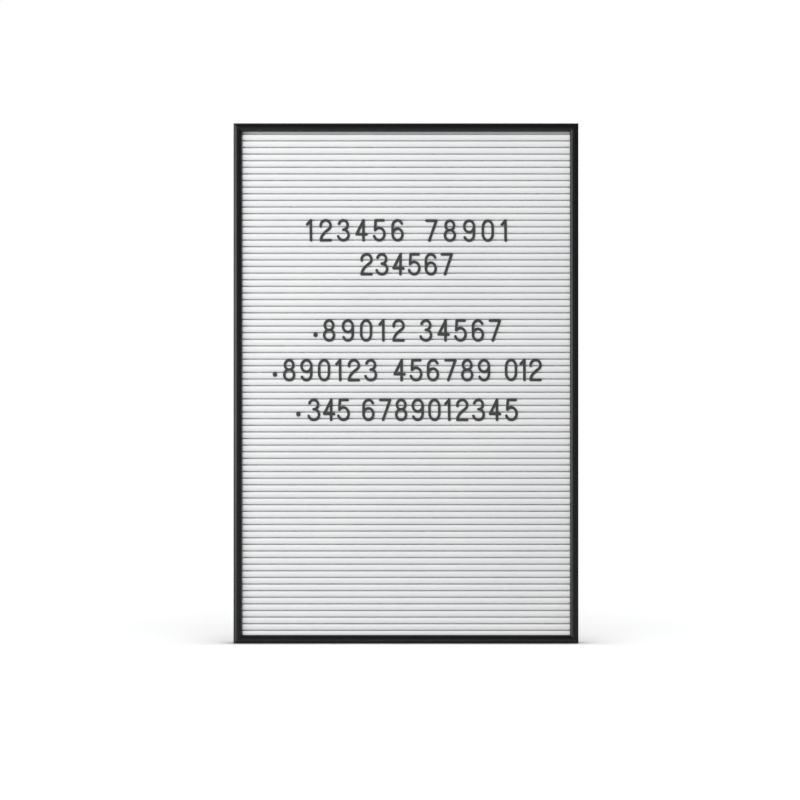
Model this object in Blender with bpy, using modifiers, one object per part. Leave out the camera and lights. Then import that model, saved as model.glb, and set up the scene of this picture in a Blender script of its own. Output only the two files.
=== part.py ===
# Changeable letter board: a grooved white plastic panel and its backing in a mitred aluminium frame.
# Metres, +Z up. The face looks along -Y, and the origin is in the middle of the frame's foot.

import math

import bmesh
import bpy
from mathutils import Matrix

MM = 0.001

# Overall size, over the frame
BOARD_WIDTH = 299 * MM
BOARD_HEIGHT = 451 * MM

# Clearances
LAYER_GAP = 0.2 * MM  # between layers that lie on each other
SHEET_PLAY = 0.5 * MM  # round the edge of the panel and the backing, inside the frame
PLATE_PLAY = 0.25 * MM  # round the edge of a corner plate, inside the rear channel
HOLE_PLAY = 0.12 * MM  # between a screw or rivet and its hole
MITRE_GAP = 0.06 * MM  # what each mitred end stands back from the corner's diagonal

# Frame extrusion: a rounded face and a side wall in front, and a slotted channel along the rear
WALL = 1.2 * MM
FACE_WIDTH = 7.4 * MM
FACE_RISE = 2.8 * MM
LIP_LENGTH = 1.4 * MM  # straight return of the face, down to the panel
CHANNEL_WIDTH = 9.6 * MM  # inside
EDGE_RADIUS = 0.35 * MM
FACE_STEPS = 20

# Grooved panel, moulded in one piece
GROOVE_PITCH = 5.74 * MM
GROOVE_DEPTH = 3.3 * MM
GROOVE_MOUTH = 1.0 * MM
GROOVE_NECK = 1.7 * MM  # depth at which the groove starts to open out behind its mouth
GROOVE_UNDERCUT = 0.25 * MM  # how much wider it is there, on each side
GROOVE_LIFT = 0.9 * MM  # the run of grooves sits this much above the middle of the board
RIB_SHOULDER = 0.45 * MM  # radius along a rib's edges
SHOULDER_STEPS = 3
RIB_CROWN = 0.28 * MM  # how far the middle of a rib stands out beyond its edges
RIB_LEAST = 1.5 * MM  # least width of rib left along the panel's top and bottom edges
PANEL_FLOOR = 1.3 * MM  # behind the grooves

# Backing board
BACKING_THICKNESS = 2.5 * MM

# Bowed springs between the backing and the frame
SPRING_SPACE = 1.7 * MM
SPRING_LENGTH = 56 * MM
SPRING_WIDTH = 10 * MM
SPRING_THICKNESS = 0.4 * MM
SPRING_INSET = 2.2 * MM  # from the frame's side wall to the spring
SPRING_FROM_CORNER = 118 * MM  # to the middle of a spring on a long side
SPRING_STEPS = 14

# Corner plates and their set screws
SHIM_THICKNESS = 0.8 * MM
KEY_THICKNESS = 1.6 * MM
KEY_SPREAD = 0.5 * MM  # what the screws hold the two plates apart
ARM_LENGTH = 34 * MM  # from the outside of the corner
SCREW_FROM_END = 10 * MM  # from the end of an arm to its screw
SCREW_RADIUS = 2 * MM
SCREW_ACCESS = 0.8 * MM  # room on each side of a screw in the channel's slot
SCREW_PROUD = 0.7 * MM  # how far a screw stands out of its plate
DRIVER_SLOT_WIDTH = 0.7 * MM
DRIVER_SLOT_DEPTH = 0.9 * MM
ROUND_STEPS = 20

# Sawtooth hanger, riveted to the backing
HANGER_LENGTH = 47 * MM
HANGER_HEIGHT = 9 * MM
HANGER_THICKNESS = 0.9 * MM
HANGER_STAND_OFF = 1.9 * MM
HANGER_PAD = 8 * MM  # flat end that is riveted down
HANGER_RAMP = 1.5 * MM
HANGER_DROP = 46 * MM  # from the top of the board to the middle of the hanger
TOOTH_PITCH = 3 * MM
TOOTH_DEPTH = 1.5 * MM
TOOTH_LAND = 0.5 * MM  # flat tip between two notches
RIVET_RADIUS = 1.25 * MM
RIVET_HEAD_RADIUS = 2.4 * MM
RIVET_HEAD_RISE = 0.8 * MM
RIVET_SKIN = 0.5 * MM  # what is left of the backing under the end of a rivet

# Layers, each measured back from the frame's foremost line
PANEL_FRONT = FACE_RISE + LIP_LENGTH + LAYER_GAP
PANEL_REAR = PANEL_FRONT + GROOVE_DEPTH + PANEL_FLOOR
BACKING_FRONT = PANEL_REAR + LAYER_GAP
BACKING_REAR = BACKING_FRONT + BACKING_THICKNESS
WEB_FRONT = BACKING_REAR + SPRING_SPACE
WEB_REAR = WEB_FRONT + WALL
SHIM_FRONT = WEB_REAR + LAYER_GAP
SHIM_REAR = SHIM_FRONT + SHIM_THICKNESS
KEY_FRONT = SHIM_REAR + KEY_SPREAD
KEY_REAR = KEY_FRONT + KEY_THICKNESS
REAR_LIP_FRONT = KEY_REAR + LAYER_GAP
BOARD_DEPTH = REAR_LIP_FRONT + WALL

RAIL_WIDTH = CHANNEL_WIDTH + 2 * WALL
SHEET_WIDTH = BOARD_WIDTH - 2 * (WALL + SHEET_PLAY)
SHEET_HEIGHT = BOARD_HEIGHT - 2 * (WALL + SHEET_PLAY)

# Each side starts at one corner of the board and is a turn about Y from the upright one on the left
SIDES = {
    "left": {"turn": 0.0, "length": BOARD_HEIGHT, "start": (-1, 0), "corner": "bottom_left"},
    "top": {"turn": math.pi / 2, "length": BOARD_WIDTH, "start": (-1, 1), "corner": "top_left"},
    "right": {"turn": math.pi, "length": BOARD_HEIGHT, "start": (1, 1), "corner": "top_right"},
    "bottom": {"turn": -math.pi / 2, "length": BOARD_WIDTH, "start": (1, 0), "corner": "bottom_right"},
}


def clear_scene():
    for obj in list(bpy.data.objects):
        bpy.data.objects.remove(obj)


def new_collection(name):
    collection = bpy.data.collections.new(name)
    bpy.context.scene.collection.children.link(collection)
    return collection


def new_material(name, colour, roughness, metallic=0.0):
    material = bpy.data.materials.new(name)
    material.use_nodes = True
    shader = material.node_tree.nodes["Principled BSDF"]
    shader.inputs["Base Color"].default_value = (*colour, 1.0)
    shader.inputs["Roughness"].default_value = roughness
    shader.inputs["Metallic"].default_value = metallic
    return material


def add_part(name, mesh, material):
    if not mesh.materials:
        mesh.materials.append(material)
    obj = bpy.data.objects.new(name, mesh)
    parts.objects.link(obj)
    return obj


def cut(obj, cutter_mesh, location):
    """Takes the cutter's shape out of the object."""
    cutter = bpy.data.objects.new("cut_" + obj.name, cutter_mesh)
    cutter.location = location
    cutter.hide_render = True
    cutter.display_type = "WIRE"
    cutters.objects.link(cutter)
    boolean = obj.modifiers.new("cut", "BOOLEAN")
    boolean.operation = "DIFFERENCE"
    boolean.object = cutter


def shade_round(mesh, angle=35):
    mesh.shade_smooth()
    mesh.set_sharp_from_angle(angle=math.radians(angle))


def settled_mesh(name, obj):
    """The object's mesh with its modifiers applied and its loose caps welded."""
    bpy.context.view_layer.update()
    evaluated = obj.evaluated_get(bpy.context.evaluated_depsgraph_get())
    mesh = bpy.data.meshes.new_from_object(evaluated)
    mesh.name = name
    bm = bmesh.new()
    bm.from_mesh(mesh)
    bmesh.ops.remove_doubles(bm, verts=bm.verts, dist=0.001 * MM)
    bmesh.ops.recalc_face_normals(bm, faces=bm.faces)
    bm.to_mesh(mesh)
    bm.free()
    mesh.shade_flat()
    return mesh


def extrude_outline(name, outlines, length):
    """A flat outline in XY, with holes if it has more than one loop, made solid along Z about its middle."""
    curve = bpy.data.curves.new(name, "CURVE")
    curve.dimensions = "2D"
    curve.fill_mode = "BOTH"
    curve.extrude = length / 2
    for points in outlines:
        spline = curve.splines.new("POLY")
        spline.points.add(len(points) - 1)
        for point, (x, y) in zip(spline.points, points):
            point.co = (x, y, 0, 1)
        spline.use_cyclic_u = True
    guide = bpy.data.objects.new(name + "_outline", curve)
    cutters.objects.link(guide)
    mesh = settled_mesh(name, guide)
    bpy.data.objects.remove(guide)
    return mesh


def cylinder(name, radius, length):
    """A cylinder along Y about the origin."""
    bm = bmesh.new()
    bmesh.ops.create_cone(
        bm, cap_ends=True, segments=ROUND_STEPS, radius1=radius, radius2=radius, depth=length
    )
    bmesh.ops.rotate(bm, verts=bm.verts, matrix=Matrix.Rotation(math.pi / 2, 3, "X"))
    mesh = bpy.data.meshes.new(name)
    bm.to_mesh(mesh)
    bm.free()
    return mesh


def box(name, size_x, size_y, size_z):
    bm = bmesh.new()
    bmesh.ops.create_cube(bm, size=1)
    bmesh.ops.scale(bm, verts=bm.verts, vec=(size_x, size_y, size_z))
    mesh = bpy.data.meshes.new(name)
    bm.to_mesh(mesh)
    bm.free()
    return mesh


def arc(centre, radius, start, end, steps):
    """Points along an arc with both its ends, from one angle to the other."""
    angles = [start + (end - start) * i / steps for i in range(steps + 1)]
    return [(centre[0] + radius * math.cos(a), centre[1] + radius * math.sin(a)) for a in angles]


def eased_corner(before, corner, after, radius, steps=3):
    """A curve that cuts a corner off, by less than the radius where the edges beside it are short."""
    points = []
    length_before = math.dist(before, corner)
    length_after = math.dist(after, corner)
    trim = min(radius, 0.4 * length_before, 0.4 * length_after)
    for i in range(steps + 1):
        # Quadratic, with the old corner as its handle
        share = i / steps
        back = (1 - share) ** 2 * trim / length_before
        forward = share**2 * trim / length_after
        points.append(tuple(
            corner[k] + back * (before[k] - corner[k]) + forward * (after[k] - corner[k])
            for k in (0, 1)
        ))
    return points


def eased_chain(corners, radius):
    """A chain of straight edges with all its inner corners eased."""
    points = [corners[0]]
    for i in range(1, len(corners) - 1):
        points += eased_corner(corners[i - 1], corners[i], corners[i + 1], radius)
    return points + [corners[-1]]


def eased_loop(corners, radius):
    """A closed outline with all its corners eased."""
    points = []
    for i, corner in enumerate(corners):
        points += eased_corner(corners[i - 1], corner, corners[(i + 1) % len(corners)], radius)
    return points


def depth_to_y(depth):
    """World Y of a distance measured back from the frame's foremost line."""
    return depth - BOARD_DEPTH / 2


def make_side_axes(side):
    """An empty at the outside of a side's first corner: X runs inwards, Y backwards and Z along the side."""
    empty = bpy.data.objects.new("side_" + side, None)
    across, up = SIDES[side]["start"]
    empty.location = (across * BOARD_WIDTH / 2, depth_to_y(0), up * BOARD_HEIGHT)
    empty.rotation_euler = (0, SIDES[side]["turn"], 0)
    parts.objects.link(empty)
    return empty


def frame_section():
    """The extrusion's section: X inwards from the outer edge, Y backwards from the foremost line."""
    half = FACE_WIDTH / 2

    def rounded_face(wall):
        angles = [math.pi * i / FACE_STEPS for i in range(1, FACE_STEPS)]
        return [
            (half - (half - wall) * math.cos(a), FACE_RISE - (FACE_RISE - wall) * math.sin(a))
            for a in angles
        ]

    lip = [
        (FACE_WIDTH, FACE_RISE),
        (FACE_WIDTH, FACE_RISE + LIP_LENGTH),
        (FACE_WIDTH - WALL, FACE_RISE + LIP_LENGTH),
        (FACE_WIDTH - WALL, FACE_RISE),
    ]
    slot_half = SCREW_RADIUS + SCREW_ACCESS
    rear = [
        (WALL, FACE_RISE),
        (WALL, WEB_FRONT),
        (RAIL_WIDTH, WEB_FRONT),
        (RAIL_WIDTH, BOARD_DEPTH),
        (RAIL_WIDTH / 2 + slot_half, BOARD_DEPTH),
        (RAIL_WIDTH / 2 + slot_half, REAR_LIP_FRONT),
        (RAIL_WIDTH - WALL, REAR_LIP_FRONT),
        (RAIL_WIDTH - WALL, WEB_REAR),
        (WALL, WEB_REAR),
        (WALL, REAR_LIP_FRONT),
        (RAIL_WIDTH / 2 - slot_half, REAR_LIP_FRONT),
        (RAIL_WIDTH / 2 - slot_half, BOARD_DEPTH),
        (0, BOARD_DEPTH),
        (0, FACE_RISE),
    ]
    outside = rounded_face(0) + eased_chain(lip, EDGE_RADIUS)
    inside = rounded_face(WALL)[::-1] + eased_chain(rear, EDGE_RADIUS)
    return outside + inside


def make_frame_side(side, axes, material):
    """One length of extrusion, with both its ends mitred."""
    length = SIDES[side]["length"]
    mesh = extrude_outline("frame_" + side, [frame_section()], length)
    for vertex in mesh.vertices:
        # A mitre is a shear of the end: the further in, the shorter
        reach = length / 2 - vertex.co.x - MITRE_GAP
        vertex.co.z = math.copysign(reach, vertex.co.z)
    shade_round(mesh)
    obj = add_part("frame_" + side, mesh, material)
    obj.parent = axes
    obj.location = (0, 0, length / 2)


def groove_heights():
    """Heights of the grooves from the middle of the board, lowest first."""
    furthest = SHEET_HEIGHT / 2 - RIB_LEAST - RIB_SHOULDER - GROOVE_MOUTH / 2
    count = math.ceil(SHEET_HEIGHT / GROOVE_PITCH)
    heights = [GROOVE_LIFT + GROOVE_PITCH * (i + 0.5) for i in range(-count, count)]
    return [height for height in heights if abs(height) < furthest]


def groove_outline(height):
    """One groove from its lower shoulder to its upper one: X up the panel, Y back from the ribs' crowns."""
    half = GROOVE_MOUTH / 2
    shoulder = (height - half - RIB_SHOULDER, RIB_CROWN + RIB_SHOULDER)
    lower = arc(shoulder, RIB_SHOULDER, -math.pi / 2, 0, SHOULDER_STEPS)
    lower += [
        (height - half, GROOVE_NECK),
        (height - half - GROOVE_UNDERCUT, GROOVE_NECK + GROOVE_UNDERCUT),
        (height - half - GROOVE_UNDERCUT, GROOVE_DEPTH),
    ]
    upper = [(2 * height - x, y) for x, y in reversed(lower)]
    return lower + upper


def make_letter_panel(material):
    """The grooved panel: its section runs up the board and is carried across it."""
    edge = SHEET_HEIGHT / 2
    rear = GROOVE_DEPTH + PANEL_FLOOR
    to_shoulder = (GROOVE_PITCH - GROOVE_MOUTH) / 2 - RIB_SHOULDER
    section = [(-edge, RIB_CROWN)]
    heights = groove_heights()
    for height in heights:
        section += groove_outline(height)
        if height != heights[-1]:
            # The crown of the rib above, as three points of a parabola from shoulder to shoulder
            rib = height + GROOVE_PITCH / 2
            for share in (-0.5, 0, 0.5):
                section.append((rib + share * to_shoulder, RIB_CROWN * share**2))
    section += [(edge, RIB_CROWN), (edge, rear), (-edge, rear)]
    mesh = extrude_outline("letter_panel", [section], SHEET_WIDTH)
    shade_round(mesh)
    obj = add_part("letter_panel", mesh, material)
    obj.location = (0, depth_to_y(PANEL_FRONT), BOARD_HEIGHT / 2)
    obj.rotation_euler = (0, -math.pi / 2, 0)


def make_backing_board(material):
    """A flat board behind the panel, with a blind hole for each of the hanger's rivets."""
    mesh = box("backing_board", SHEET_WIDTH, BACKING_THICKNESS, SHEET_HEIGHT)
    obj = add_part("backing_board", mesh, material)
    obj.location = (0, depth_to_y(BACKING_FRONT + BACKING_THICKNESS / 2), BOARD_HEIGHT / 2)
    # The cutter reaches from just past the rivet's end to well clear of the board
    hole_end = BACKING_FRONT + RIVET_SKIN - HOLE_PLAY
    length = 2 * (BACKING_REAR - hole_end)
    hole = cylinder("rivet_hole", RIVET_RADIUS + HOLE_PLAY, length)
    for x in rivet_places():
        cut(obj, hole, (x, depth_to_y(hole_end + length / 2), hanger_height()))


def spring_places(side):
    """Where the springs of a side have their middles, measured along it from its first corner."""
    length = SIDES[side]["length"]
    if side in ("top", "bottom"):
        return {side: length / 2}
    first, last = ("lower", "upper") if side == "left" else ("upper", "lower")
    return {
        f"{side}_{first}": SPRING_FROM_CORNER,
        f"{side}_{last}": length - SPRING_FROM_CORNER,
    }


def spring_mesh():
    """A bowed strip along Z: its middle presses on the backing and its ends on the frame's web."""
    front = BACKING_REAR + LAYER_GAP + SPRING_THICKNESS / 2
    rear = WEB_FRONT - LAYER_GAP - SPRING_THICKNESS / 2
    bm = bmesh.new()
    bmesh.ops.create_grid(bm, x_segments=1, y_segments=SPRING_STEPS, size=0.5)
    for vertex in bm.verts:
        across, along = vertex.co.x, vertex.co.y
        vertex.co.x = across * SPRING_WIDTH
        vertex.co.y = front + (rear - front) * (2 * along) ** 2
        vertex.co.z = along * SPRING_LENGTH
    mesh = bpy.data.meshes.new("spring")
    bm.to_mesh(mesh)
    bm.free()
    shade_round(mesh)
    return mesh


def make_springs(side, axes, mesh, material):
    for name, along in spring_places(side).items():
        obj = add_part("spring_" + name, mesh, material)
        obj.parent = axes
        obj.location = (WALL + SPRING_INSET + SPRING_WIDTH / 2, 0, along)
        solidify = obj.modifiers.new("thickness", "SOLIDIFY")
        solidify.thickness = SPRING_THICKNESS
        solidify.offset = 0


def screw_spots():
    """The two screws of a corner, measured from its outside along each of its rails."""
    along = ARM_LENGTH - SCREW_FROM_END
    return {"first": (along, RAIL_WIDTH / 2), "second": (RAIL_WIDTH / 2, along)}


def corner_plate_outline():
    """An L that fills the rear channel round a corner, with both axes inwards from the corner's outside."""
    near = WALL + PLATE_PLAY
    far = RAIL_WIDTH - WALL - PLATE_PLAY
    corners = [
        (near, near),
        (ARM_LENGTH, near),
        (ARM_LENGTH, far),
        (far, far),
        (far, ARM_LENGTH),
        (near, ARM_LENGTH),
    ]
    return eased_loop(corners, 2 * EDGE_RADIUS)


def set_screw_mesh(material):
    """A slotted set screw along Y about its middle, with its slot at the rear."""
    length = KEY_SPREAD - LAYER_GAP + KEY_THICKNESS + SCREW_PROUD
    blank = add_part("screw_blank", cylinder("screw_blank", SCREW_RADIUS, length), material)
    driver_slot = box("driver_slot", 3 * SCREW_RADIUS, 2 * DRIVER_SLOT_DEPTH, DRIVER_SLOT_WIDTH)
    cut(blank, driver_slot, (0, length / 2, 0))
    mesh = settled_mesh("set_screw", blank)
    bpy.data.objects.remove(blank)
    shade_round(mesh)
    return mesh


def make_corner(side, axes, screw, plate_material):
    """The plain plate, the tapped plate and the two set screws that lock the mitre at a side's first corner."""
    corner = SIDES[side]["corner"]
    outline = corner_plate_outline()
    holes = [
        arc(spot, SCREW_RADIUS + HOLE_PLAY, 0, 2 * math.pi, ROUND_STEPS)[:-1]
        for spot in screw_spots().values()
    ]
    plates = {
        "corner_shim_": (extrude_outline("corner_shim", [outline], SHIM_THICKNESS), SHIM_FRONT, SHIM_REAR),
        "corner_key_": (extrude_outline("corner_key", [outline, *holes], KEY_THICKNESS), KEY_FRONT, KEY_REAR),
    }
    for name, (mesh, front, rear) in plates.items():
        plate = add_part(name + corner, mesh, plate_material)
        plate.parent = axes
        plate.location = (0, (front + rear) / 2, 0)
        plate.rotation_euler = (math.pi / 2, 0, 0)
    for arm, (x, z) in screw_spots().items():
        obj = add_part(f"set_screw_{corner}_{arm}", screw, plate_material)
        obj.parent = axes
        obj.location = (x, (SHIM_REAR + LAYER_GAP + KEY_REAR + SCREW_PROUD) / 2, z)


def hanger_height():
    return BOARD_HEIGHT - HANGER_DROP


def rivet_places():
    """The rivets' distances from the middle of the board, one in each flat end of the hanger."""
    reach = (HANGER_LENGTH - HANGER_PAD) / 2
    return (-reach, reach)


def hanger_section():
    """The folded strip seen from above: X along it, Y back from its middle line at the pads."""
    half = HANGER_LENGTH / 2
    pad_end = half - HANGER_PAD
    ramp_end = pad_end - HANGER_RAMP
    lift = HANGER_THICKNESS / 2
    # The ramps keep their thickness where they are cut square to the strip
    lean = lift * math.tan(math.atan2(HANGER_STAND_OFF, HANGER_RAMP) / 2)
    front = [
        (-half, -lift),
        (-pad_end + lean, -lift),
        (-ramp_end + lean, HANGER_STAND_OFF - lift),
        (ramp_end - lean, HANGER_STAND_OFF - lift),
        (pad_end - lean, -lift),
        (half, -lift),
    ]
    rear = [
        (half, lift),
        (pad_end + lean, lift),
        (ramp_end + lean, HANGER_STAND_OFF + lift),
        (-ramp_end - lean, HANGER_STAND_OFF + lift),
        (-pad_end - lean, lift),
        (-half, lift),
    ]
    return front + rear


def hanger_notches():
    """A comb that cuts the notches into the hanger's lower edge: X along it, Y up from that edge."""
    room = HANGER_LENGTH - 2 * (HANGER_PAD + HANGER_RAMP + HANGER_THICKNESS)
    count = int(room / TOOTH_PITCH)
    # The comb's own roots lie below the edge, which leaves the land between two notches
    root = -TOOTH_DEPTH * TOOTH_LAND / (TOOTH_PITCH - TOOTH_LAND)
    start = -count * TOOTH_PITCH / 2
    comb = []
    for i in range(count):
        comb.append((start + i * TOOTH_PITCH, root))
        comb.append((start + (i + 0.5) * TOOTH_PITCH, TOOTH_DEPTH))
    comb.append((-start, root))
    below = root - TOOTH_DEPTH
    return comb + [(-start, below), (start, below)]


def make_hanger(material):
    """A strip whose ends lie on the backing, and whose notched middle stands off it."""
    mesh = extrude_outline("sawtooth_hanger", [hanger_section()], HANGER_HEIGHT)
    obj = add_part("sawtooth_hanger", mesh, material)
    y = depth_to_y(BACKING_REAR + LAYER_GAP + HANGER_THICKNESS / 2)
    obj.location = (0, y, hanger_height())
    through = 2 * (HANGER_STAND_OFF + HANGER_THICKNESS)
    notches = extrude_outline("hanger_notches", [hanger_notches()], 2 * through)
    notches.transform(Matrix.Rotation(math.pi / 2, 4, "X"))
    cut(obj, notches, (0, y, hanger_height() - HANGER_HEIGHT / 2))
    hole = cylinder("hanger_hole", RIVET_RADIUS + HOLE_PLAY, through)
    for x in rivet_places():
        cut(obj, hole, (x, y, hanger_height()))


def make_rivets(material):
    """Round-headed rivets, turned about their own axis, through the hanger and into the backing."""
    under_head = BACKING_REAR + HANGER_THICKNESS + 2 * LAYER_GAP
    shank = under_head - BACKING_FRONT - RIVET_SKIN
    dome = [math.pi / 2 * i / 4 for i in range(5)]
    profile = [(RIVET_HEAD_RADIUS * math.sin(a), RIVET_HEAD_RISE * math.cos(a)) for a in dome]
    profile += [(RIVET_RADIUS, 0), (RIVET_RADIUS, -shank), (0, -shank)]
    mesh = bpy.data.meshes.new("hanger_rivet")
    edges = [(i, i + 1) for i in range(len(profile) - 1)]
    mesh.from_pydata([(radius, 0, height) for radius, height in profile], edges, [])
    for side, x in zip(("left", "right"), rivet_places()):
        obj = add_part("hanger_rivet_" + side, mesh, material)
        obj.location = (x, depth_to_y(under_head), hanger_height())
        obj.rotation_euler = (-math.pi / 2, 0, 0)
        turned = obj.modifiers.new("turned", "SCREW")
        turned.steps = turned.render_steps = ROUND_STEPS
        turned.use_merge_vertices = True
        turned.merge_threshold = 0.01 * MM


clear_scene()
parts = new_collection("letter_board")
cutters = new_collection("cutters")

black_anodised = new_material("black_anodised_aluminium", (0.018, 0.018, 0.02), 0.38, 0.6)
white_plastic = new_material("white_plastic", (0.86, 0.87, 0.88), 0.42)
hardboard = new_material("hardboard", (0.24, 0.13, 0.07), 0.75)
zinc = new_material("zinc_plated_steel", (0.62, 0.63, 0.64), 0.35, 1.0)
spring_steel = new_material("spring_steel", (0.3, 0.31, 0.34), 0.3, 1.0)
brass_plate = new_material("brass_plated_steel", (0.7, 0.53, 0.27), 0.32, 1.0)

make_letter_panel(white_plastic)
make_backing_board(hardboard)
bowed_strip = spring_mesh()
set_screw = set_screw_mesh(zinc)
for side_name in SIDES:
    side_axes = make_side_axes(side_name)
    make_frame_side(side_name, side_axes, black_anodised)
    make_springs(side_name, side_axes, bowed_strip, spring_steel)
    make_corner(side_name, side_axes, set_screw, zinc)
make_hanger(brass_plate)
make_rivets(brass_plate)
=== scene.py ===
import math
import random

import bmesh
import bpy
from mathutils import Matrix, Vector, geometry


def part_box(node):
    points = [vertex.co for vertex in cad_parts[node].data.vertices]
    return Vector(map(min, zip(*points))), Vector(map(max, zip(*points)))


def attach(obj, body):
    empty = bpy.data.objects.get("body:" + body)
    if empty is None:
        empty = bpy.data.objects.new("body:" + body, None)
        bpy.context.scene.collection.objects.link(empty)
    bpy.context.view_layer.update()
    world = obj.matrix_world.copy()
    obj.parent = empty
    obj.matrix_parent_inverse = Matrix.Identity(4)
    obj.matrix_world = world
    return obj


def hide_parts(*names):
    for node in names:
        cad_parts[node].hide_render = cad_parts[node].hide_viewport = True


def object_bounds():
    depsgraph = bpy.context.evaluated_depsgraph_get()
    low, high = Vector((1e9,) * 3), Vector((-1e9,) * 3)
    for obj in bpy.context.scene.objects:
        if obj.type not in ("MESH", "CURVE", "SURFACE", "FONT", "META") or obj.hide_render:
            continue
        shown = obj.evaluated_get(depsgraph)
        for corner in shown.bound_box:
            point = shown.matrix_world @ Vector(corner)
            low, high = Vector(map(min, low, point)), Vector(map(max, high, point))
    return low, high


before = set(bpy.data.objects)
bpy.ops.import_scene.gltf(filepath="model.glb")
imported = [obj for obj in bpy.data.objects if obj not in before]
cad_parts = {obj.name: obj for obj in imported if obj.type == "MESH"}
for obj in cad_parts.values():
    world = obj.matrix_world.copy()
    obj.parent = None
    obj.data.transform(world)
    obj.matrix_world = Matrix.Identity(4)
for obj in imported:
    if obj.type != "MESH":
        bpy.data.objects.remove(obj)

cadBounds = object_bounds()
mm = 0.001
scene = bpy.context.scene
scene.view_settings.view_transform = "Standard"

lowest, highest = (Vector(corner) for corner in cadBounds)
boardSize = highest - lowest
boardMiddle = (lowest + highest) / 2


# Shared helpers for meshes

def addPiece(name, mesh, material, stands=()):
    piece = bpy.data.objects.new(name, mesh)
    scene.collection.objects.link(piece)
    mesh.materials.clear()
    mesh.materials.append(material)
    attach(piece, "root")
    if stands:
        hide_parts(*stands)
    return piece


def smoothMesh(mesh, angle=30):
    mesh.shade_smooth()
    mesh.set_sharp_from_angle(angle=math.radians(angle))


def appliedMesh(name, thing):
    # the mesh with its modifiers, welded and facing out
    bpy.context.view_layer.update()
    evaluated = thing.evaluated_get(bpy.context.evaluated_depsgraph_get())
    mesh = bpy.data.meshes.new_from_object(evaluated)
    mesh.name = name
    work = bmesh.new()
    work.from_mesh(mesh)
    bmesh.ops.remove_doubles(work, verts=work.verts, dist=0.002 * mm)
    bmesh.ops.recalc_face_normals(work, faces=work.faces)
    work.to_mesh(mesh)
    work.free()
    return mesh


def combinedMesh(name, mesh, tool, operation):
    # the mesh with another one joined to it or cut out of it
    holder = bpy.data.objects.new(name, mesh)
    other = bpy.data.objects.new(name + "_tool", tool)
    for thing in (holder, other):
        scene.collection.objects.link(thing)
    boolean = holder.modifiers.new("combine", "BOOLEAN")
    boolean.operation = operation
    boolean.object = other
    result = appliedMesh(name, holder)
    bpy.data.objects.remove(holder)
    bpy.data.objects.remove(other)
    return result


def arcPoints(centre, radii, start, end, steps):
    # angles in degrees, both ends included
    points = []
    for i in range(steps + 1):
        angle = math.radians(start + (end - start) * i / steps)
        x, y = radii[0] * math.cos(angle), radii[1] * math.sin(angle)
        points.append((centre[0] + x, centre[1] + y))
    return points


def easedCorner(before, corner, after, radius, steps):
    trim = min(radius, 0.4 * math.dist(before, corner), 0.4 * math.dist(after, corner))
    back = Vector(before) - Vector(corner)
    forward = Vector(after) - Vector(corner)
    points = []
    for i in range(steps + 1):
        share = i / steps
        spot = Vector(corner) + back.normalized() * trim * (1 - share) ** 2
        spot += forward.normalized() * trim * share**2
        points.append(tuple(spot))
    return points


def easedChain(corners, radius, steps=5):
    points = [corners[0]]
    for before, corner, after in zip(corners, corners[1:], corners[2:]):
        points += easedCorner(before, corner, after, radius, steps)
    return points + [corners[-1]]


def sweptMesh(name, rings):
    # rings of equal length, joined into a skin with flat ends
    work = bmesh.new()
    made = [[work.verts.new(point) for point in ring] for ring in rings]
    count = len(made[0])
    for ring, following in zip(made, made[1:]):
        for i in range(count):
            work.faces.new((ring[i], ring[(i + 1) % count], following[(i + 1) % count], following[i]))
    work.faces.new(made[0])
    work.faces.new(made[-1][::-1])
    bmesh.ops.recalc_face_normals(work, faces=work.faces)
    mesh = bpy.data.meshes.new(name)
    work.to_mesh(mesh)
    work.free()
    return mesh


# Shared helpers for materials

def startMaterial(name, look):
    material = bpy.data.materials.new(name)
    material.use_nodes = True
    tree = material.node_tree
    shader = tree.nodes["Principled BSDF"]
    shader.inputs["Metallic"].default_value = look.get("metallic", 0.0)
    shader.inputs["Specular IOR Level"].default_value = look.get("specular", 0.5)
    return material, tree, shader


def noiseField(tree, stretch, scale, detail=3.0, roughness=0.55, turn=0):
    # a noise stretched by a factor along each of the piece's own axes, once they are turned about Y
    coords = tree.nodes.new("ShaderNodeTexCoord")
    mapping = tree.nodes.new("ShaderNodeMapping")
    mapping.vector_type = "TEXTURE"
    mapping.inputs["Scale"].default_value = [1 / factor for factor in stretch]
    mapping.inputs["Rotation"].default_value = (0, math.radians(turn), 0)
    noise = tree.nodes.new("ShaderNodeTexNoise")
    noise.inputs["Scale"].default_value = scale
    noise.inputs["Detail"].default_value = detail
    noise.inputs["Roughness"].default_value = roughness
    tree.links.new(coords.outputs["Object"], mapping.inputs["Vector"])
    tree.links.new(mapping.outputs["Vector"], noise.inputs["Vector"])
    return noise.outputs["Fac"]


def spread(tree, field, low, high, fromLow=0.3, fromHigh=0.7):
    ranged = tree.nodes.new("ShaderNodeMapRange")
    ranged.inputs["From Min"].default_value = fromLow
    ranged.inputs["From Max"].default_value = fromHigh
    ranged.inputs["To Min"].default_value = low
    ranged.inputs["To Max"].default_value = high
    tree.links.new(field, ranged.inputs["Value"])
    return ranged.outputs["Result"]


def mixColours(tree, factor, first, second):
    mix = tree.nodes.new("ShaderNodeMix")
    mix.data_type = "RGBA"
    tree.links.new(factor, mix.inputs["Factor"])
    for socket, colour in ((mix.inputs["A"], first), (mix.inputs["B"], second)):
        if isinstance(colour, tuple):
            socket.default_value = (*colour, 1.0)
        else:
            tree.links.new(colour, socket)
    return mix.outputs["Result"]


def addBump(tree, shader, height, strength, distance):
    bump = tree.nodes.new("ShaderNodeBump")
    bump.inputs["Strength"].default_value = strength
    bump.inputs["Distance"].default_value = distance
    tree.links.new(height, bump.inputs["Height"])
    current = shader.inputs["Normal"]
    if current.is_linked:
        tree.links.new(current.links[0].from_socket, bump.inputs["Normal"])
    tree.links.new(bump.outputs["Normal"], current)


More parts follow.
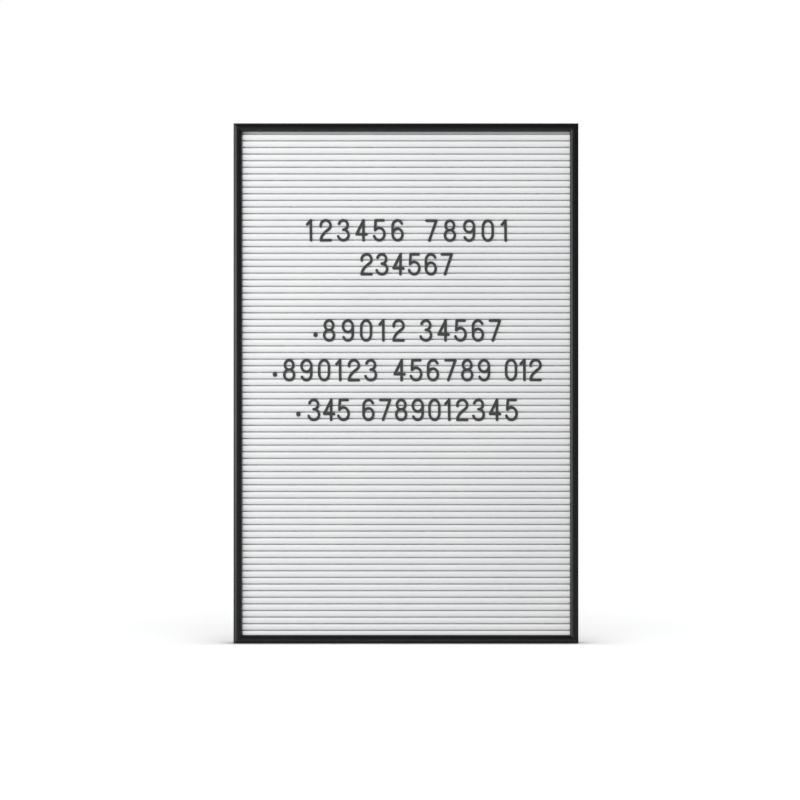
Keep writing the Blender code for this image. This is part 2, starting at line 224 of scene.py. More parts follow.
# Camera: square on, at the height and offset that the board has in the picture
cameraLook = {
    "distance": 2.3,  # from the widest line of the frame's face
    "imageWidth": 800.0,
    "boardWidthPixels": 344.9,
    "boardMiddlePixels": (405.96, 383.4),
    "sensor": 36.0,
}


def makeCamera(look, faceRise):
    scale = look["boardWidthPixels"] / boardSize.x  # pixels in a metre, at the board
    half = look["imageWidth"] / 2
    camera = bpy.data.objects.new("camera", bpy.data.cameras.new("camera"))
    scene.collection.objects.link(camera)
    camera.data.sensor_width = look["sensor"]
    camera.data.lens = look["sensor"] * scale * look["distance"] / look["imageWidth"]
    camera.data.clip_start = 0.01
    camera.data.clip_end = 50
    across = (half - look["boardMiddlePixels"][0]) / scale
    down = (half - look["boardMiddlePixels"][1]) / scale
    camera.location = (
        boardMiddle.x + across,
        lowest.y + faceRise - look["distance"],
        boardMiddle.z - down,
    )
    camera.rotation_euler = (math.pi / 2, 0, 0)
    scene.camera = camera
    print("camera: lens %.1f mm at %.2f m" % (camera.data.lens, look["distance"]))


# Stage: a floor that the camera sees as white, apart from the shadow, which has painted shade near what
# stands on it, a surround, and three soft lamps
stageLook = {
    "floorFront": 6.0,
    "floorBehind": 1.1,
    "floorSide": 4.0,
    "floorColour": 0.75,
    "floorReflected": 1.0,
    "floorSeen": (3.11, 3.16, 3.20),  # for the camera alone: brings the floor to white
    "paintedShadeReach": 85 * mm,  # painted shade: the floor's colour darkens this close to what stands on it
    "paintedShadeColour": (0.35, 0.35, 0.35),
    "paintedShadeSamples": 12,
    "surround": (0.14, 0.54),  # what it gives to matt surfaces, from behind and from the front
    "openTowards": (-0.74, 0.67, 0.0),  # reflections are white on this side and behind, dark on the other
    "openRange": (-0.10, 0.55),
    "closedLevel": 0.04,
}
lampLooks = {
    "key": {
        "place": (-0.75, -1.90, 1.80), "aim": (0, 0, 0.25), "size": (0.45, 0.45), "power": 37.5,
        "mirrored": False,  # left out of reflections
    },
    "rim": {"place": (-0.95, -0.70, 0.27), "aim": (0, 0, 0.23), "size": (0.85, 0.6), "power": 4.8},
    "back": {"place": (0.9, 2.0, 1.3), "aim": (0, 0, 0.25), "size": (1.2, 1.2), "power": 30.0},
}


def rayKind(tree, *names):
    # 1 for any of the kinds of ray named, 0 for the rest
    path = tree.nodes.new("ShaderNodeLightPath")
    either = path.outputs[f"Is {names[0]} Ray"]
    for name in names[1:]:
        larger = tree.nodes.new("ShaderNodeMath")
        larger.operation = "MAXIMUM"
        tree.links.new(either, larger.inputs[0])
        tree.links.new(path.outputs[f"Is {name} Ray"], larger.inputs[1])
        either = larger.outputs[0]
    return either


def makeSurround(look):
    world = bpy.data.worlds.new("surround")
    scene.world = world
    world.use_nodes = True
    tree = world.node_tree
    background = tree.nodes["Background"]
    coords = tree.nodes.new("ShaderNodeTexCoord")
    facing = tree.nodes.new("ShaderNodeVectorMath")
    facing.operation = "DOT_PRODUCT"
    facing.inputs[1].default_value = look["openTowards"]
    tree.links.new(coords.outputs["Generated"], facing.inputs[0])
    reflected = spread(tree, facing.outputs["Value"], look["closedLevel"], 1.0, *look["openRange"])
    fromFront = tree.nodes.new("ShaderNodeVectorMath")
    fromFront.operation = "DOT_PRODUCT"
    fromFront.inputs[1].default_value = (0, -1, 0)
    tree.links.new(coords.outputs["Generated"], fromFront.inputs[0])
    matt = spread(tree, fromFront.outputs["Value"], *look["surround"], -1, 1)
    mirrored = mixColours(tree, rayKind(tree, "Glossy", "Transmission"), matt, reflected)
    level = mixColours(tree, rayKind(tree, "Camera"), mirrored, (1.0, 1.0, 1.0))
    tree.links.new(level, background.inputs["Color"])


def makeFloor(look):
    side, front, behind = look["floorSide"], look["floorFront"], look["floorBehind"]
    mesh = bpy.data.meshes.new("floor")
    spots = [(-side, -front, 0), (side, -front, 0), (side, behind, 0), (-side, behind, 0)]
    mesh.from_pydata(spots, [], [(0, 1, 2, 3)])
    floor = bpy.data.objects.new("floor", mesh)
    scene.collection.objects.link(floor)
    material = bpy.data.materials.new("floor")
    material.use_nodes = True
    tree = material.node_tree
    tree.nodes.remove(tree.nodes["Principled BSDF"])
    matt = tree.nodes.new("ShaderNodeBsdfDiffuse")
    plain, reflected = ((look[name],) * 3 for name in ("floorColour", "floorReflected"))
    unseen = mixColours(tree, rayKind(tree, "Glossy", "Transmission"), plain, reflected)
    # painted shade: for the camera, the floor's colour darkens where ambient occlusion finds something close
    # by
    paintedShadeAO = tree.nodes.new("ShaderNodeAmbientOcclusion")
    paintedShadeAO.samples = look["paintedShadeSamples"]
    paintedShadeAO.inputs["Distance"].default_value = look["paintedShadeReach"]
    shaded = mixColours(tree, paintedShadeAO.outputs["AO"], look["paintedShadeColour"], look["floorSeen"])
    tree.links.new(mixColours(tree, rayKind(tree, "Camera"), unseen, shaded), matt.inputs["Color"])
    tree.links.new(matt.outputs["BSDF"], tree.nodes["Material Output"].inputs["Surface"])
    mesh.materials.append(material)
    return floor


def makeLamps(looks, floor):
    # the lamps leave the floor out, so that its real shadow comes from the surround alone, with painted shade
    # added close to what stands on it
    lit = bpy.data.collections.new("lit_by_lamps")
    lit.objects.link(floor)
    lit.collection_objects[0].light_linking.link_state = "EXCLUDE"
    for name, look in looks.items():
        lamp = bpy.data.lights.new(name + "_lamp", "AREA")
        lamp.shape = "RECTANGLE"
        lamp.size, lamp.size_y = look["size"]
        lamp.energy = look["power"]
        holder = bpy.data.objects.new(name + "_lamp", lamp)
        holder.location = look["place"]
        direction = Vector(look["aim"]) - Vector(look["place"])
        holder.rotation_euler = direction.to_track_quat("-Z", "Y").to_euler()
        scene.collection.objects.link(holder)
        holder.light_linking.receiver_collection = lit
        holder.visible_glossy = look.get("mirrored", True)
    print("stage: floor, surround and %d lamps" % len(looks))


# Frame rails: satin black anodised extrusion
railLook = {
    "faceWidth": 7.4 * mm,
    "faceRise": 2.8 * mm,
    "lipLength": 1.4 * mm,
    "wall": 1.2 * mm,
    "webFront": 13.4 * mm,  # depths are measured back from the face's foremost line
    "rearLipFront": 17.9 * mm,
    "slotWidth": 5.6 * mm,
    "edgeRadius": 0.35 * mm,
    "mitreGap": 0.06 * mm,
    "faceSteps": 56,
    "colour": (0.0040, 0.0040, 0.0042),
    "paler": (0.0060, 0.0060, 0.0062),
    "roughness": (0.34, 0.44),
    "specular": 0.70,
    "lineStretch": 0.012,  # draws the lines out along the rail
    "lineScale": 2600,
    "cloudScale": 90,
    "fineScale": 9000,
}


def railSection(look, width, depth):
    # X inwards from the outer edge, Y back from the foremost line
    half, rise, wall = look["faceWidth"] / 2, look["faceRise"], look["wall"]
    lipEnd = rise + look["lipLength"]
    near = width / 2 - look["slotWidth"] / 2
    far = width / 2 + look["slotWidth"] / 2
    webFront, webRear, lipFront = look["webFront"], look["webFront"] + wall, look["rearLipFront"]
    steps = look["faceSteps"]
    outer = arcPoints((half, rise), (half, rise), 180, 360, steps)[1:-1]
    inner = arcPoints((half, rise), (half - wall, rise - wall), 360, 180, steps // 3)[1:-1]
    lip = [(2 * half, rise), (2 * half, lipEnd), (2 * half - wall, lipEnd), (2 * half - wall, rise)]
    rear = [
        (wall, rise), (wall, webFront), (width, webFront), (width, depth), (far, depth),
        (far, lipFront), (width - wall, lipFront), (width - wall, webRear), (wall, webRear),
        (wall, lipFront), (near, lipFront), (near, depth), (0, depth), (0, rise),
    ]
    radius = look["edgeRadius"]
    return outer + easedChain(lip, radius) + inner + easedChain(rear, radius)


def railMaterial(look):
    material, tree, shader = startMaterial("black_anodised", look)
    lines = noiseField(tree, (1.0, 1.0, look["lineStretch"]), look["lineScale"], 4)
    cloud = noiseField(tree, (1.0, 1.0, 0.25), look["cloudScale"], 2)
    colour = mixColours(tree, spread(tree, cloud, 0, 1), look["colour"], look["paler"])
    tree.links.new(colour, shader.inputs["Base Color"])
    tree.links.new(spread(tree, lines, *look["roughness"]), shader.inputs["Roughness"])
    addBump(tree, shader, lines, 0.25, 0.004 * mm)
    addBump(tree, shader, noiseField(tree, (1, 1, 1), look["fineScale"], 2), 0.12, 0.004 * mm)
    return material


def makeRails(look):
    material = railMaterial(look)
    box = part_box("frame_left")
    width = box[1][0] - box[0][0]
    section = railSection(look, width, boardSize.y)
    # each side starts at one corner and is a turn about Y from the upright one on the left
    sides = {
        "left": (0, boardSize.z, (lowest.x, lowest.z)),
        "top": (90, boardSize.x, (lowest.x, highest.z)),
        "right": (180, boardSize.z, (highest.x, highest.z)),
        "bottom": (-90, boardSize.x, (highest.x, lowest.z)),
    }
    for side, (turn, length, start) in sides.items():
        first = [(x, y, x + look["mitreGap"]) for x, y in section]
        last = [(x, y, length - x - look["mitreGap"]) for x, y in section]
        mesh = sweptMesh("rail_" + side, [first, last])
        smoothMesh(mesh)
        rail = addPiece("rail_" + side, mesh, material, ["frame_" + side])
        rail.location = (start[0], lowest.y, start[1])
        rail.rotation_euler = (0, math.radians(turn), 0)
    print("rails: %d points in the section" % len(section))


# Letter panel: white plastic ribs with a keyed groove between each two
panelLook = {
    "pitch": 5.74 * mm,
    "lift": 0.9 * mm,  # the run of grooves sits this much above the middle
    "mouth": 1.0 * mm,
    "depth": 3.3 * mm,
    "neck": 1.7 * mm,
    "undercut": 0.25 * mm,
    "shoulder": 0.45 * mm,
    "crown": 0.28 * mm,
    "ribLeast": 1.5 * mm,
    "crownSteps": 12,
    "shoulderSteps": 6,
    "colour": (0.83, 0.84, 0.85),
    "paler": (0.87, 0.875, 0.88),
    "roughness": (0.36, 0.46),
    "specular": 0.4,
    "cloudScale": 14,
    "streakStretch": 0.05,  # draws the flow lines out along the ribs
    "streakScale": 420,
    "fineScale": 5200,
}


def grooveHeights(look, span):
    # from the panel's middle, lowest first
    furthest = span / 2 - look["ribLeast"] - look["shoulder"] - look["mouth"] / 2
    count = math.ceil(span / look["pitch"])
    heights = [look["lift"] + look["pitch"] * (i + 0.5) for i in range(-count, count)]
    return [height for height in heights if abs(height) < furthest]


def panelSection(look, span, thickness):
    # (up the panel, back from the crowns), from the bottom edge to the top one
    half, shoulder, crown = look["mouth"] / 2, look["shoulder"], look["crown"]
    reach = look["pitch"] / 2 - half - shoulder
    section = [(-span / 2, crown)]
    heights = grooveHeights(look, span)
    for height in heights:
        rounding = (-half - shoulder, crown + shoulder)
        lower = arcPoints(rounding, (shoulder, shoulder), -90, 0, look["shoulderSteps"])
        lower += [
            (-half, look["neck"]),
            (-half - look["undercut"], look["neck"] + look["undercut"]),
            (-half - look["undercut"], look["depth"]),
        ]
        section += [(height + x, y) for x, y in lower]
        section += [(height - x, y) for x, y in reversed(lower)]
        if height != heights[-1]:
            rib = height + look["pitch"] / 2
            for i in range(1, look["crownSteps"]):
                share = 2 * i / look["crownSteps"] - 1
                section.append((rib + share * reach, crown * share**2))
    return section + [(span / 2, crown), (span / 2, thickness), (-span / 2, thickness)]


def panelMaterial(look):
    material, tree, shader = startMaterial("white_plastic", look)
    cloud = noiseField(tree, (1, 1, 1), look["cloudScale"], 3)
    streaks = noiseField(tree, (look["streakStretch"], 1, 1), look["streakScale"], 3)
    colour = mixColours(tree, spread(tree, cloud, 0, 1), look["colour"], look["paler"])
    tree.links.new(colour, shader.inputs["Base Color"])
    tree.links.new(spread(tree, streaks, *look["roughness"]), shader.inputs["Roughness"])
    addBump(tree, shader, streaks, 0.2, 0.02 * mm)
    addBump(tree, shader, noiseField(tree, (1, 1, 1), look["fineScale"], 2), 0.15, 0.01 * mm)
    return material


def makePanel(look):
    low, high = (Vector(corner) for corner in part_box("letter_panel"))
    section = panelSection(look, high.z - low.z, high.y - low.y)
    middle = (low.z + high.z) / 2
    rings = []
    for x in (low.x, high.x):
        rings.append([(x, low.y + back, middle + up) for up, back in section])
    mesh = sweptMesh("ribbed_panel", rings)
    smoothMesh(mesh)
    addPiece("ribbed_panel", mesh, panelMaterial(look), ["letter_panel"])
    heights = [middle + up for up in grooveHeights(look, high.z - low.z)]
    print("panel: %d grooves" % len(heights))
    return heights[::-1], low.y


# Characters: plain digits pushed into the grooves, each a single moulding with two pegs
characterLook = {
    "stroke": 2.30 * mm,
    "width": 8.5 * mm,  # between the middles of a digit's outer strokes
    "narrow": 4.4 * mm,  # the same for a one
    "groovesTall": 3,  # the pegs stand this many grooves apart
    "thickness": 0.8 * mm,
    "edge": 0.25 * mm,
    "stand": 0.02 * mm,  # off the ribs
    "pegWidth": 2.0 * mm,
    "stemThickness": 0.40 * mm,  # between the character and the groove
    "pegThickness": 0.90 * mm,
    "pegLength": 2.6 * mm,
    "stemEnd": 0.25 * mm,  # how far behind the ribs the stem stops
    "bladeStart": 0.6 * mm,  # and the blade is full
    "pegTip": 0.5 * mm,  # its tapered end
    "pegTaper": 0.6,
    "pegPlaces": {  # upper and lower, across the width, where they aren't in the middle
        "1": (0.72, 0.72), "4": (0.70, 0.70), "7": (0.5, 0.33),
    },
    "dotRadius": 1.95 * mm,
    "dotSteps": 32,
    "dotPegRise": 1.75 * mm,  # from its middle to the groove that holds its peg
    "turn": 0.6,  # most that a character leans, in degrees
    "shift": 0.25 * mm,  # most that it sits off its place
    "seed": 7,
    "arcSteps": 22,
    "colour": (0.058, 0.058, 0.059),
    "paler": (0.064, 0.064, 0.065),
    "roughness": (0.40, 0.52),
    "specular": 0.20,
    "cloudScale": 160,
    "fineScale": 3800,
}
# each word: its digits, where it starts and ends across the board from its middle, the groove of its upper
# pegs counted from the top, and how far its lines sit below those grooves
wordLooks = [
    {"text": "123456", "left": -86.7 * mm, "right": -1.7 * mm, "groove": 13, "drop": 0.0 * mm},
    {"text": "78901", "left": 16.5 * mm, "right": 88.5 * mm, "groove": 13, "drop": 0.3 * mm},
    {"text": "234567", "left": -39.8 * mm, "right": 40.8 * mm, "groove": 18, "drop": 0.80 * mm},
    {"text": "89012", "left": -71.9 * mm, "right": -1.3 * mm, "groove": 28, "drop": 0.80 * mm},
    {"text": "34567", "left": 12.2 * mm, "right": 82.4 * mm, "groove": 28, "drop": 0.80 * mm},
    {"text": "890123", "left": -106.6 * mm, "right": -25.0 * mm, "groove": 34, "drop": 0.80 * mm},
    {"text": "456789", "left": -11.2 * mm, "right": 73.0 * mm, "groove": 34, "drop": 0.80 * mm},
    {"text": "012", "left": 85.9 * mm, "right": 117.9 * mm, "groove": 34, "drop": 0.55 * mm},
    {"text": "345", "left": -84.9 * mm, "right": -48.4 * mm, "groove": 40, "drop": 0.80 * mm},
    {"text": "6789012345", "left": -38.1 * mm, "right": 97.1 * mm, "groove": 40, "drop": 0.80 * mm},
]
dotLooks = [
    {"middle": -78.5 * mm, "groove": 30},
    {"middle": -113.7 * mm, "groove": 36},
    {"middle": -93.4 * mm, "groove": 42},
]


def digitStrokes(digit, width, height, steps):
    # open smooth strokes along the middle of the line, in a box from (0, 0) to (width, height)
    def at(x, y):
        return (x * width, y * height)

    def bow(cx, cy, rx, ry, start, end):
        return arcPoints(at(cx, cy), (rx * width, ry * height), start, end, steps)

    def ring(cx, cy, rx, ry):
        return [bow(cx, cy, rx, ry, -10, 190), bow(cx, cy, rx, ry, 170, 370)]

    def bend(first, pull, counterpull, last):
        spots = [Vector(at(*spot)) for spot in (first, pull, counterpull, last)]
        return [tuple(spot) for spot in geometry.interpolate_bezier(*(v.to_3d() for v in spots), steps)]

    if digit == "0":
        high, low = bow(0.5, 0.66, 0.5, 0.34, 0, 180), bow(0.5, 0.34, 0.5, 0.34, 180, 360)
        return [high, low, [at(0, 0.66), at(0, 0.34)], [at(1, 0.66), at(1, 0.34)]]
    if digit == "1":
        return [[at(0.0, 0.80), at(0.72, 1.0)], [at(0.72, 1.0), at(0.72, 0.0)]]
    if digit == "2":
        top = bow(0.5, 0.745, 0.5, 0.255, 190, -28)
        end = (top[-1][0] / width, top[-1][1] / height)
        swing = bend(end, (0.80, 0.50), (0.05, 0.36), (0.0, 0.0))
        return [top, swing, [at(0, 0), at(1, 0)]]
    if digit == "3":
        return [bow(0.46, 0.765, 0.45, 0.235, 165, -90), bow(0.46, 0.265, 0.54, 0.265, 90, -165)]
    if digit == "4":
        bar = [at(0, 0.30), at(0.70, 0.30), at(1, 0.293)]  # a straight one leaves slivers in the flat face
        return [[at(0.70, 1), at(0, 0.30)], bar, [at(0.70, 1), at(0.70, 0)]]
    if digit == "5":
        bowl = bow(0.46, 0.31, 0.54, 0.31, 140, -160)
        start = (bowl[0][0] / width, bowl[0][1] / height)
        return [[at(0.90, 1), at(0.10, 1)], [at(0.10, 1), at(*start)], bowl]
    if digit == "6":
        hook = bow(0.5, 0.70, 0.5, 0.30, 28, 180)
        return [hook, [at(0, 0.70), at(0, 0.29)], *ring(0.5, 0.29, 0.5, 0.29)]
    if digit == "7":
        return [[at(0, 1), at(1, 1)], [at(1, 1), at(0.30, 0)]]
    if digit == "8":
        return [*ring(0.5, 0.76, 0.43, 0.24), *ring(0.5, 0.265, 0.5, 0.265)]
    turned = digitStrokes("6", width, height, steps)  # a nine is a six turned over
    return [[(width - spot[0], height - spot[1]) for spot in stroke] for stroke in turned]


def strokeOutline(stroke, radius):
    # the closed outline of a round-ended line
    spots = [Vector(spot[:2]) for spot in stroke]
    sides = []
    for i, spot in enumerate(spots):
        ahead = spots[min(i + 1, len(spots) - 1)] - spots[max(i - 1, 0)]
        sides.append(Vector((-ahead.y, ahead.x)).normalized() * radius)
    left = [spot + side for spot, side in zip(spots, sides)]
    right = [spot - side for spot, side in zip(spots, sides)]
    capSteps = 12

    def cap(centre, side):
        facing = math.degrees(math.atan2(side.y, side.x))
        turn = arcPoints(centre, (radius, radius), facing, facing - 180, capSteps)
        return [Vector(spot) for spot in turn[1:-1]]

    around = left + cap(spots[-1], sides[-1]) + right[::-1] + cap(spots[0], -sides[0])
    return around[::-1]  # anticlockwise


def mergedLoops(outlines):
    # the outer and inner edges of several overlapping outlines taken together
    spots, faces = [], []
    for outline in outlines:
        faces.append(list(range(len(spots), len(spots) + len(outline))))
        spots += outline
    nearest = 1e-7  # metres: points closer than this become one
    result = geometry.delaunay_2d_cdt(spots, [], faces, 0, nearest)
    points, triangles, owners = result[0], result[2], result[5]
    following = {}
    edges = {}
    for triangle, owner in zip(triangles, owners):
        if owner:
            for a, b in zip(triangle, triangle[1:] + triangle[:1]):
                edges[(a, b)] = True
    for a, b in edges:
        if (b, a) not in edges:
            following[a] = b
    loops = []
    while following:
        first = next(iter(following))
        loop, spot = [], first
        while spot in following:
            loop.append(points[spot])
            spot = following.pop(spot)
        loops.append(thinned(loop))
    return loops


def thinned(loop, least=0.05 * mm):
    # without the points that crossings leave almost on top of each other
    kept = [loop[0]]
    for point in loop[1:]:
        if (point - kept[-1]).length > least:
            kept.append(point)
    if (kept[0] - kept[-1]).length < least:
        kept.pop()
    return kept


def raisedMesh(name, loops, thickness, edge):
    # a flat shape with rounded edges: X across, Y back from its foremost plane, Z up
    curve = bpy.data.curves.new(name, "CURVE")
    curve.dimensions = "2D"
    curve.fill_mode = "BOTH"
    curve.extrude = thickness / 2 - edge
    curve.bevel_depth = edge
    curve.bevel_resolution = 3
    curve.offset = -edge
    for loop in loops:
        spline = curve.splines.new("POLY")
        spline.points.add(len(loop) - 1)
        for point, spot in zip(spline.points, loop):
            point.co = (spot[0], spot[1], 0, 1)
        spline.use_cyclic_u = True
    holder = bpy.data.objects.new(name, curve)
    scene.collection.objects.link(holder)
    mesh = appliedMesh(name, holder)
    bpy.data.objects.remove(holder)
    mesh.transform(Matrix.Translation((0, thickness / 2, 0)) @ Matrix.Rotation(math.pi / 2, 4, "X"))
    return mesh


def addPegs(mesh, spots, look):
    # blades on a thin stem that start inside the body and run back into the grooves
    work = bmesh.new()
    start = look["thickness"] - look["edge"]
    ribs = look["thickness"] + look["stand"]
    end = ribs + look["pegLength"]
    stem, blade = look["stemThickness"], look["pegThickness"]
    stations = [
        (start, 1.0, stem), (ribs + look["stemEnd"], 1.0, stem),
        (ribs + look["bladeStart"], 1.0, blade), (end - look["pegTip"], 1.0, blade),
        (end, look["pegTaper"], blade / 2),
    ]
    for x, z in spots:
        corners = []
        for y, taper, thick in stations:
            across, up = look["pegWidth"] / 2 * taper, thick / 2
            ring = [(-across, -up), (across, -up), (across, up), (-across, up)]
            corners.append([work.verts.new((x + dx, y, z + dz)) for dx, dz in ring])
        faces = [work.faces.new(corners[0]), work.faces.new(corners[-1][::-1])]
        for ring, following in zip(corners, corners[1:]):
            for i in range(4):
                k = (i + 1) % 4
                faces.append(work.faces.new((ring[i], ring[k], following[k], following[i])))
        bmesh.ops.recalc_face_normals(work, faces=faces)
    pegs = bpy.data.meshes.new("pegs")
    work.to_mesh(pegs)
    work.free()
    return combinedMesh(mesh.name, mesh, pegs, "UNION")


def characterMaterial(look):
    material, tree, shader = startMaterial("black_character_plastic", look)
    cloud = noiseField(tree, (1, 1, 1), look["cloudScale"], 3)
    fine = noiseField(tree, (1, 1, 1), look["fineScale"], 3)
    colour = mixColours(tree, spread(tree, cloud, 0, 1), look["colour"], look["paler"])
    tree.links.new(colour, shader.inputs["Base Color"])
    tree.links.new(spread(tree, fine, *look["roughness"]), shader.inputs["Roughness"])
    addBump(tree, shader, fine, 0.3, 0.02 * mm)
    return material


def digitMesh(digit, height, drop, look):
    # centred on the width of the digit, with its lower peg's groove at zero
    width = look["narrow"] if digit == "1" else look["width"]
    strokes = digitStrokes(digit, width, height, look["arcSteps"])
    loops = mergedLoops([strokeOutline(stroke, look["stroke"] / 2) for stroke in strokes])
    mesh = raisedMesh("digit_" + digit, loops, look["thickness"], look["edge"])
    upper, lower = look["pegPlaces"].get(digit, (0.5, 0.5))
    mesh.transform(Matrix.Translation((0, 0, -drop)))
    mesh = addPegs(mesh, [(upper * width, height), (lower * width, 0)], look)
    mesh.transform(Matrix.Translation((-width / 2, 0, 0)))
    smoothMesh(mesh, 40)
    return mesh


def dotMesh(look):
    around = arcPoints((0, 0), (look["dotRadius"],) * 2, 0, 360, look["dotSteps"])
    loop = [Vector(spot) for spot in around[:-1]]
    mesh = raisedMesh("dot", [loop], look["thickness"], look["edge"])
    mesh = addPegs(mesh, [(0, look["dotPegRise"])], dict(look, pegWidth=look["dotRadius"]))
    smoothMesh(mesh, 40)
    return mesh


def makeCharacters(look, words, dots, grooves, ribFront):
    material = characterMaterial(look)
    height = grooves[0] - grooves[look["groovesTall"]]
    chance = random.Random(look["seed"])
    front = ribFront - look["stand"] - look["thickness"]
    for number, word in enumerate(words, 1):
        base = grooves[word["groove"] + look["groovesTall"]]
        widths = []
        for digit in word["text"]:
            widths.append(look["narrow" if digit == "1" else "width"] + look["stroke"])
        gap = (word["right"] - word["left"] - sum(widths)) / (len(widths) - 1)
        x = boardMiddle.x + word["left"]
        for place, (digit, width) in enumerate(zip(word["text"], widths), 1):
            mesh = digitMesh(digit, height, word["drop"], look)
            piece = addPiece(f"digit_{number:02d}_{place:02d}", mesh, material)
            piece.location = (x + width / 2 + chance.uniform(-1, 1) * look["shift"], front, base)
            piece.rotation_euler = (0, math.radians(chance.uniform(-1, 1) * look["turn"]), 0)
            x += width + gap
    for number, spot in enumerate(dots, 1):
        piece = addPiece(f"dot_{number}", dotMesh(look), material)
        low = grooves[spot["groove"]] - look["dotPegRise"]
        piece.location = (boardMiddle.x + spot["middle"], front, low)
    print("characters: %d digits, %d dots" % (sum(len(word["text"]) for word in words), len(dots)))


# Backing board: plain hardboard
backingLook = {
    "colour": (0.180, 0.103, 0.056),
    "paler": (0.205, 0.120, 0.067),
    "fibre": (0.310, 0.200, 0.118),
    "fleck": (0.070, 0.040, 0.023),
    "fibreTurns": (12, 57, 103, 148),
    "fibreStretch": 0.28,
    "roughness": (0.50, 0.70),
    "cloudScale": 18,
    "fleckScale": 420,
    "fibreScale": 620,
}


def dressBacking(look):
    material, tree, shader = startMaterial("hardboard", look)
    cloud = noiseField(tree, (1, 1, 1), look["cloudScale"], 4)
    fleck = noiseField(tree, (1.0, 1.0, 0.5), look["fleckScale"], 3, 0.6, turn=20)
    colour = mixColours(tree, spread(tree, cloud, 0, 1), look["colour"], look["paler"])
    for turn in look["fibreTurns"]:
        fibre = noiseField(tree, (1.0, 1.0, look["fibreStretch"]), look["fibreScale"], 5, 0.7, turn)
        colour = mixColours(tree, spread(tree, fibre, 0, 0.55, 0.54, 0.76), colour, look["fibre"])
        addBump(tree, shader, fibre, 0.3, 0.06 * mm)
    colour = mixColours(tree, spread(tree, fleck, 0, 0.8, 0.62, 0.72), colour, look["fleck"])
    tree.links.new(colour, shader.inputs["Base Color"])
    tree.links.new(spread(tree, fibre, *look["roughness"]), shader.inputs["Roughness"])
    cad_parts["backing_board"].material_slots[0].material = material
    print("backing board")


# Steel and brass hardware, with the edges that stamping leaves
metalLooks = {
    "zinc_plate": {
        "colour": (0.46, 0.47, 0.49), "paler": (0.62, 0.63, 0.64), "roughness": (0.24, 0.42), "metallic": 1.0,
        "stretch": (1, 1, 1), "grain": 700,
    },
    "spring_steel": {
        "colour": (0.16, 0.17, 0.20), "paler": (0.27, 0.27, 0.29), "roughness": (0.22, 0.36), "metallic": 1.0,
        "stretch": (1, 1, 0.08), "grain": 1600,
    },
    "brass_plate": {
        "colour": (0.58, 0.40, 0.15), "paler": (0.74, 0.54, 0.24), "roughness": (0.22, 0.38), "metallic": 1.0,
        "stretch": (0.1, 1, 1), "grain": 1500,
    },
}
stampedLook = {
    "edge": 0.12 * mm,
    "springEdge": 0.08 * mm,
    "rivetEdge": 0.05 * mm,
    "edgeSteps": 3,
    "edgeAngle": 35,  # corners sharper than this are eased, in degrees
    "flatAngle": 1,  # and faces closer than this are taken as one
    "weld": 0.001 * mm,
}


def metalMaterial(name):
    look = metalLooks[name]
    material, tree, shader = startMaterial(name, look)
    cloud = noiseField(tree, (1, 1, 1), 120, 3)
    grain = noiseField(tree, look["stretch"], look["grain"], 4, 0.6)
    colour = mixColours(tree, spread(tree, cloud, 0, 1), look["colour"], look["paler"])
    tree.links.new(colour, shader.inputs["Base Color"])
    tree.links.new(spread(tree, grain, *look["roughness"]), shader.inputs["Roughness"])
    addBump(tree, shader, grain, 0.25, 0.01 * mm)
    return material


def stampedCopy(node, name, material, edge):
    # the node's own shape with its flat faces whole and its edges eased
    look = stampedLook
    work = bmesh.new()
    work.from_mesh(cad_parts[node].data)
    bmesh.ops.remove_doubles(work, verts=work.verts, dist=look["weld"])
    flat = math.radians(look["flatAngle"])
    bmesh.ops.dissolve_limit(work, angle_limit=flat, verts=work.verts, edges=work.edges)
    mesh = bpy.data.meshes.new(name)
    work.to_mesh(mesh)
    work.free()
    blank = bpy.data.objects.new(name, mesh)
    scene.collection.objects.link(blank)
    bevel = blank.modifiers.new("edge", "BEVEL")
    bevel.width = edge
    bevel.segments = look["edgeSteps"]
    bevel.limit_method = "ANGLE"
    bevel.angle_limit = math.radians(look["edgeAngle"])
    soft = appliedMesh(name, blank)
    bpy.data.objects.remove(blank)
    smoothMesh(soft, look["edgeAngle"])
    return addPiece(name, soft, material, [node])


# Set screws: threaded, with a driver slot
screwLook = {
    "threadPitch": 0.5 * mm,
    "threadDepth": 0.16 * mm,
    "chamfer": 0.3 * mm,
    "around": 40,
    "rings": 40,
    "slotWidth": 0.7 * mm,
    "slotDepth": 0.9 * mm,
    "seed": 3,  # for how far each one is turned
}


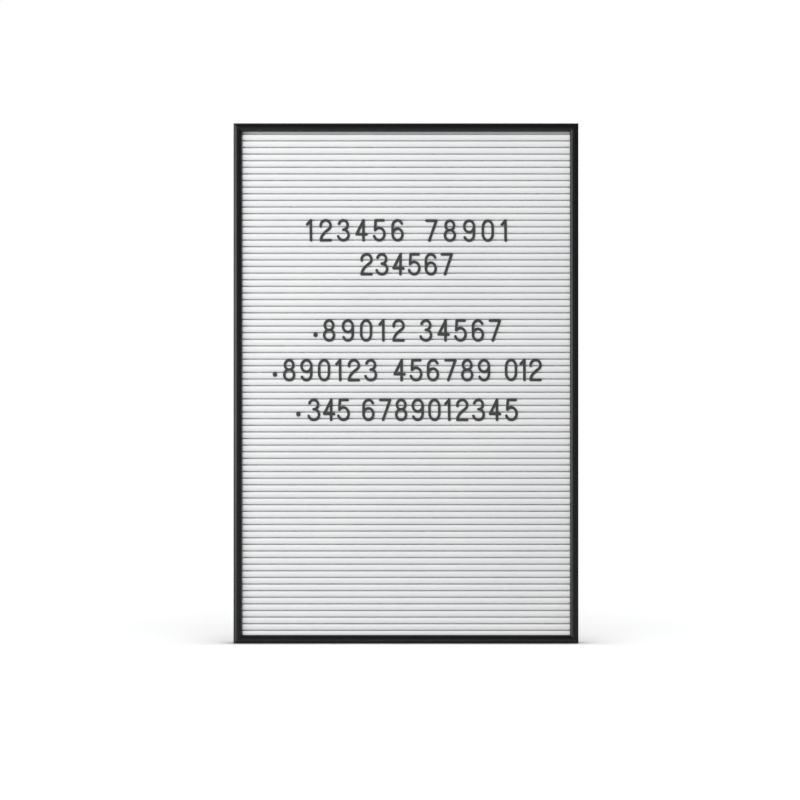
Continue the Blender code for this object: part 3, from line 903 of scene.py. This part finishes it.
def screwMesh(look, radius, length):
    # along Y, from its tip at 0 to its slotted end
    work = bmesh.new()
    rings = []
    for i in range(look["rings"] + 1):
        along = length * i / look["rings"]
        fromEnd = min(along, length - along)
        ring = []
        for k in range(look["around"]):
            turn = k / look["around"]
            phase = (along / look["threadPitch"] - turn) % 1.0
            valley = look["threadDepth"] * abs(2 * phase - 1)
            limit = radius - max(0.0, look["chamfer"] - fromEnd)
            r = min(radius - valley, limit)
            angle = 2 * math.pi * turn
            ring.append(work.verts.new((r * math.cos(angle), along, r * math.sin(angle))))
        rings.append(ring)
    for ring, following in zip(rings, rings[1:]):
        for k in range(look["around"]):
            n = (k + 1) % look["around"]
            work.faces.new((ring[k], ring[n], following[n], following[k]))
    work.faces.new(rings[0])
    work.faces.new(rings[-1][::-1])
    bmesh.ops.recalc_face_normals(work, faces=work.faces)
    blank = bpy.data.meshes.new("set_screw")
    work.to_mesh(blank)
    work.free()
    slot = bpy.data.meshes.new("driver_slot")
    work = bmesh.new()
    bmesh.ops.create_cube(work, size=1)
    bmesh.ops.scale(work, verts=work.verts, vec=(3 * radius, 2 * look["slotDepth"], look["slotWidth"]))
    bmesh.ops.translate(work, verts=work.verts, vec=(0, length, 0))
    work.to_mesh(slot)
    work.free()
    mesh = combinedMesh("set_screw", blank, slot, "DIFFERENCE")
    smoothMesh(mesh)
    return mesh


def makeHardware():
    zinc = metalMaterial("zinc_plate")
    steel = metalMaterial("spring_steel")
    brass = metalMaterial("brass_plate")
    low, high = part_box("set_screw_top_left_first")
    screw = screwMesh(screwLook, (high[0] - low[0]) / 2, high[1] - low[1])
    chance = random.Random(screwLook["seed"])
    edge = stampedLook["edge"]
    for corner in ("bottom_left", "bottom_right", "top_left", "top_right"):
        stampedCopy("corner_shim_" + corner, "angle_shim_" + corner, zinc, edge)
        stampedCopy("corner_key_" + corner, "angle_key_" + corner, zinc, edge)
        for which in ("first", "second"):
            node = f"set_screw_{corner}_{which}"
            low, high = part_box(node)
            name = f"threaded_screw_{corner}_{which}"
            piece = addPiece(name, screw.copy(), zinc, [node])
            piece.location = ((low[0] + high[0]) / 2, low[1], (low[2] + high[2]) / 2)
            piece.rotation_euler = (0, chance.uniform(0, math.pi), 0)
    stampedCopy("sawtooth_hanger", "notched_hanger", brass, edge)
    for side in ("left", "right"):
        rivet = "round_rivet_" + side
        stampedCopy("hanger_rivet_" + side, rivet, brass, stampedLook["rivetEdge"])
    for name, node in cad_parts.items():
        if name.startswith("spring_"):
            stampedCopy(name, "leaf_" + name, steel, stampedLook["springEdge"])
    print("hardware: plates, screws, springs and hanger")


makeCamera(cameraLook, railLook["faceRise"])
makeSurround(stageLook)
makeLamps(lampLooks, makeFloor(stageLook))
makeRails(railLook)
grooveLines, ribFront = makePanel(panelLook)
makeCharacters(characterLook, wordLooks, dotLooks, grooveLines, ribFront)
dressBacking(backingLook)
makeHardware()
